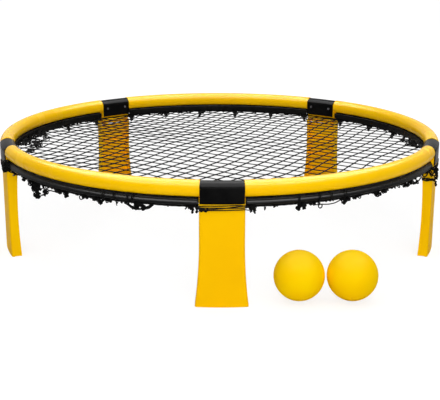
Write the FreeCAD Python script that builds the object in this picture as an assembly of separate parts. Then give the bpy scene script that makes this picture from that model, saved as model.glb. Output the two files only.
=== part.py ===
import FreeCAD, Part
import math
import os
from FreeCAD import Vector

# Roundnet set: a hoop of five plastic tubes on five folding legs, a stretched
# net hooked under the hoop, and two balls. Millimetres, +Z up, the origin on
# the ground under the middle of the hoop, the viewer at -Y.

# Hoop
HOOP_OUTER_RADIUS = 457.0
HOOP_HEIGHT = 212.0
TUBE_RADIUS = 14.6
TUBE_WALL = 2.6
FRONT_JOINT_ANGLE = -90.0
JOINT_NAMES = ["front", "right", "back_right", "back_left", "left"]
SECTION_NAMES = ["front_right", "right_back", "back", "left_back", "front_left"]

# Joint between two tubes: a moulded core under a black saddle
SADDLE_LENGTH = 74.6
SADDLE_WALL = 2.0
SADDLE_PROUD = 0.4
SADDLE_TOP_DROP = 1.2
SADDLE_SHOULDER_DROP = 9.1
SKIRT_BELOW_TUBE = 10.0
CORE_CLEARANCE = 0.2
TUBE_END_GAP = 0.3
SPIGOT_LENGTH = 32.0
SPIGOT_WALL = 2.4
NECK_BELOW_TUBE = 7.2
BLOCK_BELOW_TUBE = 22.1
BLOCK_DEPTH = 16.4
BLOCK_TOP_GAP = 0.5
SADDLE_SCREW_SPACING = 49.0
SADDLE_SCREW_DROP = 5.5
SADDLE_SCREW_RADIUS = 1.4
SADDLE_SCREW_LENGTH = 18.0
SADDLE_SCREW_HEAD_RADIUS = 2.7
SADDLE_SCREW_HEAD_HEIGHT = 1.4
SADDLE_SCREW_SLOT_WIDTH = 0.7
SADDLE_SCREW_SLOT_DEPTH = 0.7

# Legs: moulded channels that fold inward under the net
LEG_TOP_WIDTH = 79.4
LEG_FOOT_WIDTH = 94.8
LEG_STRAIGHT_LENGTH = 55.0
LEG_DEPTH = 22.2
LEG_WAIST = 3.0
LEG_FOOT_DEPTH = 22.0
LEG_PLATE_WALL = 2.8
LEG_FLANGE_WALL = 2.4
LEG_FACE_RADIUS = 450.0
LEG_CORNER_RADIUS = 4.5
LEG_TOP_GAP = 0.3
FOOT_TREAD_DEPTH = 7.5
FOOT_RELIEF = 1.0
SOLE_WALL = 3.0
RIB_WALL = 2.0
RIB_COUNT = 3

# Leg hinge
HINGE_FROM_FACE = 14.2
HINGE_BELOW_LEG_TOP = 9.0
HINGE_PIN_RADIUS = 1.6
HINGE_CLEARANCE = 0.05
HINGE_PIN_RECESS = 0.4
LUG_RADIUS = 6.0
LUG_WIDTH = 6.0
LUG_SPACING = 44.0

# Hook rails under the tubes
RAIL_SEAT_CLEARANCE = 0.2
RAIL_SEAT_HALF_WIDTH = 10.5
RAIL_BULGE = 1.7
RAIL_BULGE_DROP = 3.0
RAIL_BELOW_TUBE = 12.9
RAIL_WALL = 2.4
RAIL_END_GAP = 1.0
HOOKS_PER_RAIL = 6
HOOK_FROM_BLOCK = 11.9
HOOK_WIDTH = 6.0
HOOK_THICKNESS = 3.6
HOOK_BELOW_RAIL = 10.5
HOOK_TOE_HEIGHT = 4.6
HOOK_TIP_HEIGHT = 4.0
HOOK_TIP_THICKNESS = 1.8
RAIL_SCREW_RADIUS = 1.3
RAIL_SCREW_HEAD_RADIUS = 2.6
RAIL_SCREW_HEAD_HEIGHT = 1.5
SCREW_CLEARANCE = 0.05

# Net and its edge cord. One opening stands for three by three meshes. The
# cord lies on the hooks' toes and passes outside the block of each joint.
NET_THICKNESS = 1.2
NET_OPENING_PITCH = 81.9
NET_BAR_WIDTH = 6.0
NET_BORDER = 5.0
NET_LEAST_OPENING = 0.25
NET_TURN = -33.0
EDGE_CORD_RADIUS = 2.3
EDGE_CORD_BEND = 6.0
SOFT_CLEARANCE = 0.1

# Balls
BALL_RADIUS = 45.7
BALL_WALL = 2.2
BALL_LEFT_X = 137.3
BALL_GAP = 3.1
BALLS_IN_FRONT = 6.0
VALVE_RADIUS = 3.5
VALVE_LENGTH = 5.0
VALVE_CLEARANCE = 0.05
VALVE_DIRECTION = Vector(0.30, 0.62, 0.72)

# Places that follow from the sizes above. RHO is a distance from the hoop's
# axis, and every Z is a height above the ground.
STATION_STEP = 360.0 / len(JOINT_NAMES)
TUBE_RHO = HOOP_OUTER_RADIUS - TUBE_RADIUS
TUBE_BORE = TUBE_RADIUS - TUBE_WALL
TUBE_BOTTOM_Z = HOOP_HEIGHT - TUBE_RADIUS
SADDLE_HALF = SADDLE_LENGTH / 2
SADDLE_HALF_DEPTH = TUBE_RADIUS + SADDLE_PROUD
SADDLE_TOP_Z = HOOP_HEIGHT + TUBE_RADIUS - SADDLE_TOP_DROP
SADDLE_BACK_RHO = TUBE_RHO - SADDLE_HALF_DEPTH
SADDLE_SHOULDER_Z = HOOP_HEIGHT + TUBE_RADIUS - SADDLE_SHOULDER_DROP
SKIRT_BOTTOM_Z = TUBE_BOTTOM_Z - SKIRT_BELOW_TUBE
TUBE_END_TANGENT = SADDLE_HALF + TUBE_END_GAP
CORE_HALF_DEPTH = SADDLE_HALF_DEPTH - SADDLE_WALL - CORE_CLEARANCE
SPIGOT_RADIUS = TUBE_BORE - CORE_CLEARANCE
NECK_BOTTOM_Z = TUBE_BOTTOM_Z - NECK_BELOW_TUBE
BLOCK_BOTTOM_Z = TUBE_BOTTOM_Z - BLOCK_BELOW_TUBE
LEG_FACE_RHO = TUBE_RHO + CORE_HALF_DEPTH
LEG_AXIS_RHO = LEG_FACE_RHO - LEG_FACE_RADIUS
LEG_BACK_RHO = LEG_FACE_RHO - LEG_DEPTH
BLOCK_BACK_RHO = LEG_FACE_RHO - BLOCK_DEPTH
LEG_TOP_Z = BLOCK_BOTTOM_Z - LEG_TOP_GAP
LEG_FLARE_TOP_Z = LEG_TOP_Z - LEG_STRAIGHT_LENGTH
FOOT_BACK_RHO = LEG_FACE_RHO - LEG_FOOT_DEPTH
HINGE_RHO = LEG_FACE_RHO - HINGE_FROM_FACE
HINGE_Z = LEG_TOP_Z - HINGE_BELOW_LEG_TOP
SEAT_RADIUS = TUBE_RADIUS + RAIL_SEAT_CLEARANCE
SEAT_EDGE_Z = HOOP_HEIGHT - math.sqrt(SEAT_RADIUS ** 2 - RAIL_SEAT_HALF_WIDTH ** 2)
RAIL_WEB_Z = HOOP_HEIGHT - SEAT_RADIUS - RAIL_WALL
RAIL_BOTTOM_Z = TUBE_BOTTOM_Z - RAIL_BELOW_TUBE
HOOK_RHO = TUBE_RHO - HOOK_THICKNESS
HOOK_BOTTOM_Z = RAIL_BOTTOM_Z - HOOK_BELOW_RAIL
HOOK_TOE_TOP_Z = HOOK_BOTTOM_Z + HOOK_TOE_HEIGHT
CORD_OFFSET = EDGE_CORD_RADIUS + SOFT_CLEARANCE
CORD_RHO = TUBE_RHO + CORD_OFFSET
NET_Z = HOOK_TOE_TOP_Z + CORD_OFFSET
BALL_Y = -HOOP_OUTER_RADIUS - BALLS_IN_FRONT + BALL_RADIUS
BALL_RIGHT_X = BALL_LEFT_X + 2 * BALL_RADIUS + BALL_GAP

ORIGIN = Vector(0, 0, 0)
OUTWARD = Vector(1, 0, 0)
SIDEWAYS = Vector(0, 1, 0)
UPWARD = Vector(0, 0, 1)
DOWNWARD = Vector(0, 0, -1)


# Helpers
def station_angle(index):
    return FRONT_JOINT_ANGLE + index * STATION_STEP


def turned(shape, angle):
    copy = shape.copy()
    copy.rotate(ORIGIN, UPWARD, angle)
    return copy


def angle_of(tangent, rho=TUBE_RHO):
    return math.degrees(math.asin(tangent / rho))


def hook_angles():
    """Where a rail's hooks are, from the middle of the rail."""
    end = STATION_STEP / 2 - angle_of(LEG_TOP_WIDTH / 2 + HOOK_FROM_BLOCK)
    step = 2 * end / (HOOKS_PER_RAIL - 1)
    return [-end + number * step for number in range(HOOKS_PER_RAIL)]


def rail_screw_angles():
    """A screw midway between each second pair of hooks."""
    hooks = hook_angles()
    return [(hooks[number] + hooks[number + 1]) / 2 for number in range(0, HOOKS_PER_RAIL, 2)]


def upright(rho, height):
    return Vector(rho, 0, height)


def closed_face(start, steps):
    """A face whose edges are lines, [end], and arcs, [middle, end], in order."""
    edges = []
    here = start
    for step in steps:
        end = step[-1]
        if len(step) == 2:
            edges.append(Part.Arc(here, step[0], end).toShape())
        else:
            edges.append(Part.LineSegment(here, end).toShape())
        here = end
    return Part.Face(Part.Wire(edges))


def radial_face(start, steps):
    """The same in the radial plane, from pairs of distance and height."""
    return closed_face(upright(*start), [[upright(*point) for point in step] for step in steps])


def arc_middle(start, end, direction):
    """The middle of the arc that leaves start along a direction and meets end."""
    chord = end - start
    along = Vector(chord).normalize()
    aside = (direction - along * direction.dot(along)).normalize()
    rise = chord.Length / 2 * math.tan(direction.getAngle(chord) / 2)
    return (start + end) * 0.5 + aside * rise


def revolved(face, from_angle, to_angle):
    return turned(face.revolve(ORIGIN, UPWARD, to_angle - from_angle), from_angle)


def disc_face(rho, height, radius):
    circle = Part.Circle(upright(rho, height), SIDEWAYS, radius)
    return Part.Face(Part.Wire(circle.toShape()))


def block(rho_low, rho_high, half_width, z_low, z_high):
    size = (rho_high - rho_low, 2 * half_width, z_high - z_low)
    return Part.makeBox(*size, Vector(rho_low, -half_width, z_low))


def rod(radius, start, direction, length):
    return Part.makeCylinder(radius, length, start, direction)


def export(name, shapes):
    if len(shapes) == 1:
        shapes[0].exportStep("parts/" + name + ".step")
    else:
        Part.makeCompound(shapes).exportStep("parts/" + name + ".step")


# Tubes
def rail_screw_start(angle):
    """The foot of a rail screw's shank, under the web of the rail."""
    foot = turned(Part.Vertex(upright(TUBE_RHO, RAIL_WEB_Z)), angle)
    return foot.Point


def rim_tube(start_angle):
    end = angle_of(TUBE_END_TANGENT)
    low = start_angle + end
    high = start_angle + STATION_STEP - end
    outer = revolved(disc_face(TUBE_RHO, HOOP_HEIGHT, TUBE_RADIUS), low, high)
    bore = revolved(disc_face(TUBE_RHO, HOOP_HEIGHT, TUBE_BORE), low, high)
    tube = outer.cut(bore)
    middle = start_angle + STATION_STEP / 2
    holes = [
        rod(RAIL_SCREW_RADIUS + SCREW_CLEARANCE, rail_screw_start(middle + angle),
            UPWARD, TUBE_RADIUS)
        for angle in rail_screw_angles()
    ]
    return tube.cut(holes)


# Joint core: two spigots, a neck inside the saddle, a block that the leg
# stands up against, and two hinge lugs inside the leg
def saddle_screw_seat():
    """Under a screw's head, on the saddle's inner side, before it is turned."""
    return upright(SADDLE_BACK_RHO - SCREW_CLEARANCE, HOOP_HEIGHT - SADDLE_SCREW_DROP)


def saddle_screw_pair(shape):
    aside = angle_of(SADDLE_SCREW_SPACING / 2, SADDLE_BACK_RHO)
    return [turned(shape, -aside), turned(shape, aside)]


def saddle_screw_holes():
    return saddle_screw_pair(rod(SADDLE_SCREW_RADIUS + SCREW_CLEARANCE, saddle_screw_seat(),
                                 OUTWARD, SADDLE_SCREW_LENGTH + SCREW_CLEARANCE))


def spigot(side):
    near = angle_of(TUBE_END_TANGENT - TUBE_END_GAP)
    far = angle_of(TUBE_END_TANGENT + SPIGOT_LENGTH)
    low, high = (near, far) if side > 0 else (-far, -near)
    outer = revolved(disc_face(TUBE_RHO, HOOP_HEIGHT, SPIGOT_RADIUS), low, high)
    bore_radius = SPIGOT_RADIUS - SPIGOT_WALL
    bore = revolved(disc_face(TUBE_RHO, HOOP_HEIGHT, bore_radius), low, high)
    return outer.cut(bore)


def behind_leg_face(solid):
    """The part of a solid behind the bulged outer face of the legs."""
    box = solid.BoundBox
    start = Vector(LEG_AXIS_RHO, 0, box.ZMin)
    return solid.common(rod(LEG_FACE_RADIUS, start, UPWARD, box.ZLength))


def rounded_corners(solid, radius):
    """Round the two upright corners at the solid's outer face."""
    picked = []
    for edge in solid.Edges:
        box = edge.BoundBox
        tall = box.ZLength > box.XLength and box.ZLength > box.YLength
        outer = box.XMax > LEG_FACE_RHO - LEG_DEPTH / 2
        if tall and outer:
            picked.append(edge)
    return solid.makeFillet(radius, picked)


def hinge_start():
    return Vector(HINGE_RHO, -LEG_TOP_WIDTH / 2, HINGE_Z)


def lug(side):
    middle = side * LUG_SPACING / 2
    start = Vector(HINGE_RHO, middle - LUG_WIDTH / 2, HINGE_Z)
    round_end = rod(LUG_RADIUS, start, SIDEWAYS, LUG_WIDTH)
    low_rho = max(HINGE_RHO - LUG_RADIUS, BLOCK_BACK_RHO)
    stem = block(low_rho, HINGE_RHO + LUG_RADIUS, LUG_WIDTH / 2, HINGE_Z, BLOCK_BOTTOM_Z)
    stem.translate(Vector(0, middle, 0))
    return round_end.fuse(stem)


def neck_section():
    low = (TUBE_RHO - CORE_HALF_DEPTH, NECK_BOTTOM_Z)
    high = (LEG_FACE_RHO, HOOP_HEIGHT)
    return radial_face(low, [[(high[0], low[1])], [high], [(low[0], high[1])], [low]])


def joint_core():
    barrel_radius = SADDLE_TOP_Z - SADDLE_WALL - CORE_CLEARANCE - HOOP_HEIGHT
    half_angle = angle_of(SADDLE_HALF)
    barrel = revolved(disc_face(TUBE_RHO, HOOP_HEIGHT, barrel_radius), -half_angle, half_angle)
    neck = revolved(neck_section(), -half_angle, half_angle)
    lower = block(BLOCK_BACK_RHO, LEG_FACE_RHO, LEG_TOP_WIDTH / 2, BLOCK_BOTTOM_Z,
                  TUBE_BOTTOM_Z - BLOCK_TOP_GAP)
    lower = rounded_corners(behind_leg_face(lower), LEG_CORNER_RADIUS)
    pieces = [behind_leg_face(neck), lower, spigot(-1), spigot(1), lug(-1), lug(1)]
    core = barrel.fuse(pieces).removeSplitter()
    pin_hole = rod(HINGE_PIN_RADIUS + HINGE_CLEARANCE, hinge_start(), SIDEWAYS,
                   LEG_TOP_WIDTH)
    return core.cut([pin_hole] + saddle_screw_holes())


def joint_saddle():
    def section(inset):
        half = SADDLE_HALF_DEPTH - inset
        low = (TUBE_RHO + half, SKIRT_BOTTOM_Z)
        shoulder = (TUBE_RHO + half, SADDLE_SHOULDER_Z)
        top = (TUBE_RHO, SADDLE_TOP_Z - inset)
        far_shoulder = (TUBE_RHO - half, SADDLE_SHOULDER_Z)
        far_low = (TUBE_RHO - half, SKIRT_BOTTOM_Z)
        steps = [[shoulder], [top, far_shoulder], [far_low], [low]]
        return radial_face(low, steps)

    half_angle = angle_of(SADDLE_HALF)
    outside = revolved(section(0), -half_angle, half_angle)
    inside = revolved(section(SADDLE_WALL), -half_angle, half_angle)
    return outside.cut(inside).cut(saddle_screw_holes())


def saddle_screws():
    seat = saddle_screw_seat()
    head = rod(SADDLE_SCREW_HEAD_RADIUS, seat, OUTWARD * -1, SADDLE_SCREW_HEAD_HEIGHT)
    shank = rod(SADDLE_SCREW_RADIUS, seat, OUTWARD, SADDLE_SCREW_LENGTH)
    arm = SADDLE_SCREW_RADIUS
    half = SADDLE_SCREW_SLOT_WIDTH / 2
    top = seat.x - SADDLE_SCREW_HEAD_HEIGHT
    bottom = top + SADDLE_SCREW_SLOT_DEPTH
    cross = block(top, bottom, arm, -half, half).fuse(block(top, bottom, half, -arm, arm))
    cross.translate(UPWARD * seat.z)
    return saddle_screw_pair(head.fuse(shank).cut(cross).removeSplitter())


# Legs
def leg_face_solid(inset):
    """Everything behind the leg's bulged outer face, inset by a wall."""
    return rod(LEG_FACE_RADIUS - inset, Vector(LEG_AXIS_RHO, 0, 0), UPWARD, LEG_TOP_Z)


def leg_front_solid(inset, rho_low):
    """The leg's flared front outline, pushed through the leg's depth."""
    top = LEG_TOP_WIDTH / 2 - inset
    foot = LEG_FOOT_WIDTH / 2 - inset

    def place(side, half_width, height):
        return Vector(rho_low, side * half_width, height)

    flare_start = place(1, top, LEG_FLARE_TOP_Z)
    flare_end = place(1, foot, 0)
    middle = arc_middle(flare_start, flare_end, DOWNWARD)
    start = place(1, top, LEG_TOP_Z)
    steps = [
        [flare_start],
        [middle, flare_end],
        [place(-1, foot, 0)],
        [place(-1, middle.y, middle.z), place(-1, top, LEG_FLARE_TOP_Z)],
        [place(-1, top, LEG_TOP_Z)],
        [start],
    ]
    return closed_face(start, steps).extrude(OUTWARD * (LEG_FACE_RHO - rho_low))


def leg_back_limit():
    """All that is in front of the flanges' free edges, which are rounded at the
    hinge and waisted below it."""
    turn = HINGE_BELOW_LEG_TOP
    edge = HINGE_RHO - LEG_BACK_RHO
    corner = (LEG_BACK_RHO, HINGE_Z + math.sqrt(turn ** 2 - edge ** 2))
    half = math.radians(90) - math.asin(edge / turn) / 2
    round_middle = (HINGE_RHO - turn * math.cos(half), HINGE_Z + turn * math.sin(half))
    waist = (LEG_BACK_RHO + LEG_WAIST, corner[1] / 2)
    front = LEG_FACE_RHO + LEG_DEPTH
    steps = [
        [round_middle, corner],
        [waist, (FOOT_BACK_RHO, 0)],
        [(front, 0)],
        [(front, LEG_TOP_Z)],
        [(HINGE_RHO, LEG_TOP_Z)],
    ]
    face = radial_face((HINGE_RHO, LEG_TOP_Z), steps)
    face.translate(SIDEWAYS * -LEG_FOOT_WIDTH)
    return face.extrude(SIDEWAYS * (2 * LEG_FOOT_WIDTH))


def leg():
    deep = LEG_BACK_RHO - LEG_DEPTH
    whole = leg_face_solid(0).common(leg_front_solid(0, deep))
    whole = rounded_corners(whole, LEG_CORNER_RADIUS)
    room = leg_face_solid(LEG_PLATE_WALL).common(leg_front_solid(LEG_FLANGE_WALL, deep))
    room = rounded_corners(room, LEG_CORNER_RADIUS - LEG_FLANGE_WALL)
    slabs = [block(deep, LEG_FACE_RHO, LEG_FOOT_WIDTH, 0, SOLE_WALL)]
    rib_step = (HINGE_Z - LUG_RADIUS) / (RIB_COUNT + 1)
    for number in range(1, RIB_COUNT + 1):
        low = number * rib_step
        slabs.append(block(deep, LEG_FACE_RHO, LEG_FOOT_WIDTH, low, low + RIB_WALL))
    channel = whole.cut(room.cut(slabs)).common(leg_back_limit())
    pin_hole = rod(HINGE_PIN_RADIUS + HINGE_CLEARANCE, hinge_start(), SIDEWAYS,
                   LEG_TOP_WIDTH)
    relief = block(deep, LEG_FACE_RHO - FOOT_TREAD_DEPTH, LEG_FOOT_WIDTH, 0, FOOT_RELIEF)
    return channel.cut([pin_hole, relief])


def hinge_pin():
    start = hinge_start() + SIDEWAYS * HINGE_PIN_RECESS
    length = LEG_TOP_WIDTH - 2 * HINGE_PIN_RECESS
    return rod(HINGE_PIN_RADIUS, start, SIDEWAYS, length)


# Hook rails
def rail_section():
    outer = TUBE_RHO + RAIL_SEAT_HALF_WIDTH
    inner = TUBE_RHO - RAIL_SEAT_HALF_WIDTH
    bulge = (outer + RAIL_BULGE, TUBE_BOTTOM_Z - RAIL_BULGE_DROP)
    seat_bottom = (TUBE_RHO, HOOP_HEIGHT - SEAT_RADIUS)
    steps = [
        [bulge, (outer, RAIL_BOTTOM_Z)],
        [(outer - RAIL_WALL, RAIL_BOTTOM_Z)],
        [(outer - RAIL_WALL, RAIL_WEB_Z)],
        [(inner + RAIL_WALL, RAIL_WEB_Z)],
        [(inner + RAIL_WALL, RAIL_BOTTOM_Z)],
        [(inner, RAIL_BOTTOM_Z)],
        [(inner, SEAT_EDGE_Z)],
        [seat_bottom, (outer, SEAT_EDGE_Z)],
    ]
    return radial_face((outer, SEAT_EDGE_Z), steps)


def net_hook():
    """A prong under the rail whose toe points out and carries the edge cord."""
    tip_inside = CORD_RHO + CORD_OFFSET
    tip_outside = tip_inside + HOOK_TIP_THICKNESS
    tip_top = HOOK_TOE_TOP_Z + HOOK_TIP_HEIGHT
    steps = [
        [(HOOK_RHO, HOOK_BOTTOM_Z)],
        [(tip_outside, HOOK_BOTTOM_Z)],
        [(tip_outside, tip_top)],
        [(tip_inside, tip_top)],
        [(tip_inside, HOOK_TOE_TOP_Z)],
        [(TUBE_RHO, HOOK_TOE_TOP_Z)],
        [(TUBE_RHO, RAIL_WEB_Z)],
        [(HOOK_RHO, RAIL_WEB_Z)],
    ]
    face = radial_face((HOOK_RHO, RAIL_WEB_Z), steps)
    face.translate(SIDEWAYS * (-HOOK_WIDTH / 2))
    return face.extrude(SIDEWAYS * HOOK_WIDTH)


def hook_rail(start_angle):
    end = angle_of(LEG_TOP_WIDTH / 2 + RAIL_END_GAP)
    rail = revolved(rail_section(), start_angle + end, start_angle + STATION_STEP - end)
    middle = start_angle + STATION_STEP / 2
    hook = net_hook()
    hooks = [turned(hook, middle + angle) for angle in hook_angles()]
    holes = [
        rod(RAIL_SCREW_RADIUS + SCREW_CLEARANCE, rail_screw_start(middle + angle),
            UPWARD, TUBE_RADIUS)
        for angle in rail_screw_angles()
    ]
    return rail.fuse(hooks).removeSplitter().cut(holes)


def rail_screws(start_angle):
    middle = start_angle + STATION_STEP / 2
    length = TUBE_BOTTOM_Z + TUBE_WALL - RAIL_WEB_Z
    screws = []
    for angle in rail_screw_angles():
        foot = rail_screw_start(middle + angle)
        shank = rod(RAIL_SCREW_RADIUS, foot, UPWARD, length)
        head = rod(RAIL_SCREW_HEAD_RADIUS, foot, DOWNWARD, RAIL_SCREW_HEAD_HEIGHT)
        screws.append(shank.fuse(head).removeSplitter())
    return screws


# Net
def net_notch(half_width, angle):
    """Room in the net's edge for a hook or a block."""
    notch = block(BLOCK_BACK_RHO - SOFT_CLEARANCE, HOOP_OUTER_RADIUS,
                  half_width + SOFT_CLEARANCE, NET_Z - NET_THICKNESS, NET_Z + NET_THICKNESS)
    return turned(notch, angle)


def net_openings():
    """A plain turned grid of square openings inside the net's border."""
    border = BLOCK_BACK_RHO - SOFT_CLEARANCE - NET_BORDER
    low = NET_Z - NET_THICKNESS
    inside = rod(border, Vector(0, 0, low), UPWARD, 2 * NET_THICKNESS)
    half_width = (NET_OPENING_PITCH - NET_BAR_WIDTH) / 2
    whole = (2 * half_width) ** 2 * 2 * NET_THICKNESS
    count = math.ceil(2 * border / NET_OPENING_PITCH)
    places = [(number - (count - 1) / 2) * NET_OPENING_PITCH for number in range(count)]
    openings = []
    for x in places:
        for y in places:
            cell = block(x - half_width, x + half_width, half_width, low, low + 2 * NET_THICKNESS)
            cell.translate(SIDEWAYS * y)
            cell = turned(cell, NET_TURN).common(inside)
            if cell.Volume > NET_LEAST_OPENING * whole:
                openings.append(cell)
    return openings


def net():
    radius = CORD_RHO - CORD_OFFSET
    sheet = rod(radius, Vector(0, 0, NET_Z - NET_THICKNESS / 2), UPWARD, NET_THICKNESS)
    notches = []
    for index in range(len(JOINT_NAMES)):
        start_angle = station_angle(index)
        middle = start_angle + STATION_STEP / 2
        notches.append(net_notch(LEG_TOP_WIDTH / 2, start_angle))
        notches += [net_notch(HOOK_WIDTH / 2, middle + angle) for angle in hook_angles()]
    return sheet.cut(notches + net_openings())


# Edge cord
def cord_arc(centre, radius, from_angle, to_angle):
    """A length of cord bent about an upright axis."""
    face = disc_face(centre.x + radius, NET_Z, EDGE_CORD_RADIUS)
    face.translate(SIDEWAYS * centre.y)
    face.rotate(centre, UPWARD, from_angle)
    return face.revolve(centre, UPWARD, to_angle - from_angle)


def point_on(centre, radius, angle):
    turn = math.radians(angle)
    return centre + Vector(math.cos(turn), math.sin(turn), 0) * radius


def cord_around_block():
    """The cord over one side of a joint: face, corner, straight, then the bend
    into the first hook. Returns the lengths and the angle where they end."""
    face_centre = Vector(LEG_AXIS_RHO, 0, NET_Z)
    corner_aside = LEG_TOP_WIDTH / 2 - LEG_CORNER_RADIUS
    corner_reach = LEG_FACE_RADIUS - LEG_CORNER_RADIUS
    face_end = math.degrees(math.asin(corner_aside / corner_reach))
    corner = point_on(face_centre, corner_reach, face_end)
    corner_bend = LEG_CORNER_RADIUS + CORD_OFFSET

    hook_side = angle_of(HOOK_WIDTH / 2 + SOFT_CLEARANCE)
    end = STATION_STEP / 2 + hook_angles()[0] - hook_side
    axis = Vector(0, 0, NET_Z)
    bend = point_on(axis, CORD_RHO + EDGE_CORD_BEND, end)
    between = bend - corner
    lean = math.degrees(math.acos((corner_bend + EDGE_CORD_BEND) / between.Length))
    line_normal = math.degrees(math.atan2(between.y, between.x)) - lean
    line_start = point_on(corner, corner_bend, line_normal)
    line_end = point_on(bend, EDGE_CORD_BEND, line_normal + 180)
    line = line_end - line_start
    lengths = [
        cord_arc(face_centre, LEG_FACE_RADIUS + CORD_OFFSET, 0, face_end),
        cord_arc(corner, corner_bend, face_end, line_normal),
        rod(EDGE_CORD_RADIUS, line_start, line, line.Length),
        cord_arc(bend, EDGE_CORD_BEND, line_normal + 180, end + 180),
    ]
    return lengths, end


def net_edge_cord():
    one_side, end = cord_around_block()
    other_side = [length.mirror(ORIGIN, SIDEWAYS) for length in one_side]
    rim = cord_arc(Vector(0, 0, NET_Z), CORD_RHO, end, STATION_STEP - end)
    lengths = [
        turned(length, station_angle(index))
        for index in range(len(JOINT_NAMES))
        for length in one_side + other_side + [rim]
    ]
    return lengths[0].fuse(lengths[1:]).removeSplitter()


# Balls
def ball_and_valve(x):
    centre = Vector(x, BALL_Y, BALL_RADIUS)
    shell = Part.makeSphere(BALL_RADIUS, centre)
    shell = shell.cut(Part.makeSphere(BALL_RADIUS - BALL_WALL, centre))
    inward = Vector(VALVE_DIRECTION)
    inward.normalize()
    start = centre + inward * (BALL_RADIUS - VALVE_LENGTH)
    hole = rod(VALVE_RADIUS + VALVE_CLEARANCE, start, inward, VALVE_LENGTH * 2)
    plug = rod(VALVE_RADIUS, start, inward, VALVE_LENGTH * 2)
    plug = plug.common(Part.makeSphere(BALL_RADIUS, centre))
    return shell.cut(hole), plug


# Build and export
os.makedirs("parts", exist_ok=True)

core = joint_core()
saddle = joint_saddle()
screws_for_saddle = saddle_screws()
leg_shape = leg()
pin = hinge_pin()
for index, joint_name in enumerate(JOINT_NAMES):
    angle = station_angle(index)
    export("joint_core_" + joint_name, [turned(core, angle)])
    export("joint_saddle_" + joint_name, [turned(saddle, angle)])
    export("saddle_screws_" + joint_name, [turned(s, angle) for s in screws_for_saddle])
    export("leg_" + joint_name, [turned(leg_shape, angle)])
    export("hinge_pin_" + joint_name, [turned(pin, angle)])

for index, section_name in enumerate(SECTION_NAMES):
    angle = station_angle(index)
    export("rim_tube_" + section_name, [rim_tube(angle)])
    export("hook_rail_" + section_name, [hook_rail(angle)])
    export("rail_screws_" + section_name, rail_screws(angle))

export("net", [net()])
export("net_edge_cord", [net_edge_cord()])

for side, x in (("left", BALL_LEFT_X), ("right", BALL_RIGHT_X)):
    ball, valve = ball_and_valve(x)
    export("ball_" + side, [ball])
    export("ball_valve_" + side, [valve])
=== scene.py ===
import bmesh
import bpy
import numpy as np
import random
from math import acos, asin, atan2, cos, degrees, exp, hypot, pi, radians, sin, sqrt, tan
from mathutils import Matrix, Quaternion, Vector


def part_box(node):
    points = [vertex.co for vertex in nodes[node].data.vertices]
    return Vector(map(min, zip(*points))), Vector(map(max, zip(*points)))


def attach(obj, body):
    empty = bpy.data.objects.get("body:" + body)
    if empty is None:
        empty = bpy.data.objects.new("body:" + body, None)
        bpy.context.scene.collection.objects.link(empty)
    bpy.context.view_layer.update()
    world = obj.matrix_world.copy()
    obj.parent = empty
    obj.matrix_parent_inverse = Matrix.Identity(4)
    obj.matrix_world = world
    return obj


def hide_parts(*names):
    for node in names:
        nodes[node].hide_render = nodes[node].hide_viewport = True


# Looks of the roundnet set: a yellow hoop with black joint saddles on five
# folding legs, a knotted net hooked under the hoop, and two balls. Metres,
# +Z up, the origin on the ground under the middle of the hoop, the viewer at -Y.

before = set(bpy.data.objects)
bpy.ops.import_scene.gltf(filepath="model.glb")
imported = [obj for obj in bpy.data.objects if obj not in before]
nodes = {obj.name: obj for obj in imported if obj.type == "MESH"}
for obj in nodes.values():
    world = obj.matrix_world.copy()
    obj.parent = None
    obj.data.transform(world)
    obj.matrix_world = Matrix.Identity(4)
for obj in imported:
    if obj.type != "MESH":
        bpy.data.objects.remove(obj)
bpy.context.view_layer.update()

# Camera
CAMERA_PLACE = Vector((-0.0217, -2.0693, 0.6483))
CAMERA_HEADING = 0.0105
CAMERA_PITCH = radians(15.69)
CAMERA_ROLL = radians(0.18)
CAMERA_LENS = 81.1
CAMERA_SENSOR = 36.0
CAMERA_SHIFT = 0.0014
CAMERA_NEAR = 0.05


def added(name, data):
    """A new object in the scene."""
    thing = bpy.data.objects.new(name, data)
    bpy.context.scene.collection.objects.link(thing)
    return thing


def add_camera():
    data = bpy.data.cameras.new("camera")
    data.lens = CAMERA_LENS
    data.sensor_width = CAMERA_SENSOR
    data.shift_x = CAMERA_SHIFT
    data.clip_start = CAMERA_NEAR
    camera = added("camera", data)
    flat = cos(CAMERA_PITCH)
    forward = Vector((CAMERA_HEADING * flat, flat, -sin(CAMERA_PITCH)))
    roll = Quaternion((0, 0, 1), CAMERA_ROLL)
    camera.rotation_mode = "QUATERNION"
    camera.rotation_quaternion = forward.to_track_quat("-Z", "Y") @ roll
    camera.location = CAMERA_PLACE
    bpy.context.scene.camera = camera


add_camera()

# The hoop's places, from the frame. RHO is a distance from the hoop's axis. A
# station is a joint's direction, and an aside is a distance across it.
JOINT_NAMES = ["front", "right", "back_right", "back_left", "left"]
SECTION_NAMES = ["front_right", "right_back", "back", "left_back", "front_left"]
SIDES = ("left", "right")
FRONT_JOINT_ANGLE = -90.0
STATION_STEP = 72.0
ROOT = "frame_and_net"

tube_low, tube_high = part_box("rim_tube_back")
TUBE_RADIUS = (tube_high.z - tube_low.z) / 2
HOOP_HEIGHT = (tube_high.z + tube_low.z) / 2
TUBE_RHO = tube_high.y - TUBE_RADIUS
TUBE_WALL = 0.0026
TUBE_LIP = 0.0006
TUBE_LIP_TURNS = (0, 22, 45, 67, 90)
TUBE_END_GAP = 0.0003
TUBE_SIDES = 64
TUBE_STEPS = 120
BORE_STEPS = 60

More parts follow.
